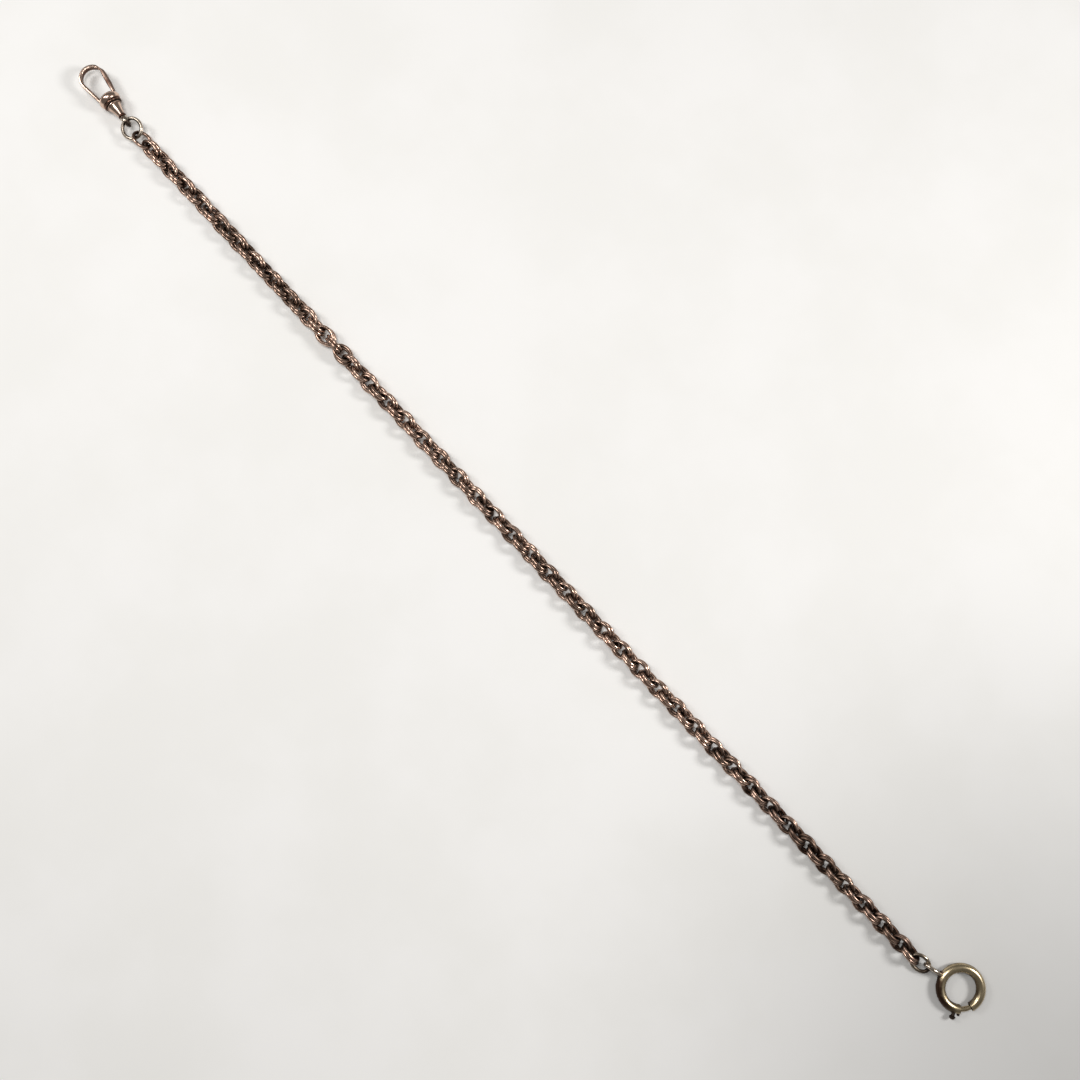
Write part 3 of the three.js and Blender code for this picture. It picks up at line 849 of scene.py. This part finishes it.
def add_floor():
    grid = bmesh.new()
    bmesh.ops.create_grid(grid, x_segments=40, y_segments=40, size=FLOOR_SIZE / 2)
    mesh = bpy.data.meshes.new("floor")
    grid.to_mesh(mesh)
    grid.free()
    mesh.materials.append(floor_material())
    floor = bpy.data.objects.new("floor", mesh)
    bpy.context.scene.collection.objects.link(floor)


def add_softbox(name, place, aim, size, power):
    light = bpy.data.lights.new(name, "AREA")
    light.shape = "DISK"
    light.size = size
    light.energy = power
    lamp = bpy.data.objects.new(name, light)
    lamp.location = place
    lamp.rotation_euler = (Vector(aim) - Vector(place)).to_track_quat("-Z", "Y").to_euler()
    lamp.visible_camera = False
    bpy.context.scene.collection.objects.link(lamp)


def add_lights():
    for name, place, aim, size, power in SOFTBOXES:
        add_softbox(name, place, aim, size, power)
    world = bpy.data.worlds.new("studio")
    world.use_nodes = True
    sky = world.node_tree.nodes["Background"]
    sky.inputs["Color"].default_value = SKY_COLOUR
    sky.inputs["Strength"].default_value = SKY_STRENGTH
    bpy.context.scene.world = world


def add_camera():
    camera = bpy.data.cameras.new("camera")
    camera.sensor_fit = "HORIZONTAL"
    camera.angle = math.radians(FIELD_OF_VIEW)
    camera.clip_start = 0.005
    back = (CAMERA_PLACE - CAMERA_AIM).normalized()
    right = CAMERA_UP.cross(back).normalized()
    up = back.cross(right)
    matrix = Matrix((right, up, back)).transposed().to_4x4()
    matrix.translation = CAMERA_PLACE
    body = bpy.data.objects.new("camera", camera)
    body.matrix_world = matrix
    bpy.context.scene.collection.objects.link(body)
    bpy.context.scene.camera = body
    bpy.context.scene.view_settings.view_transform = "Standard"


add_camera()
add_lights()
add_floor()
add_swivel()
add_single_link("jump_ring", JUMP_RING, 15, 5, -5.2, GREY_METAL, "grey_steel")
add_single_link("top_link", TOP_LINK, -35, 2, -2, CHAIN_METAL, "tarnished_rose_gold")
add_chain()
add_single_link("end_link", END_LINK, 20, 4, 2, END_METAL, "grey_steel")
add_spring_ring()
dress_node("gate_pin", GREY_METAL)
dress_node("gate_spring", SPRING_METAL)
dress_node("ring_coil_spring", SPRING_METAL)
dress_node("ring_coil_stop", BRASS)
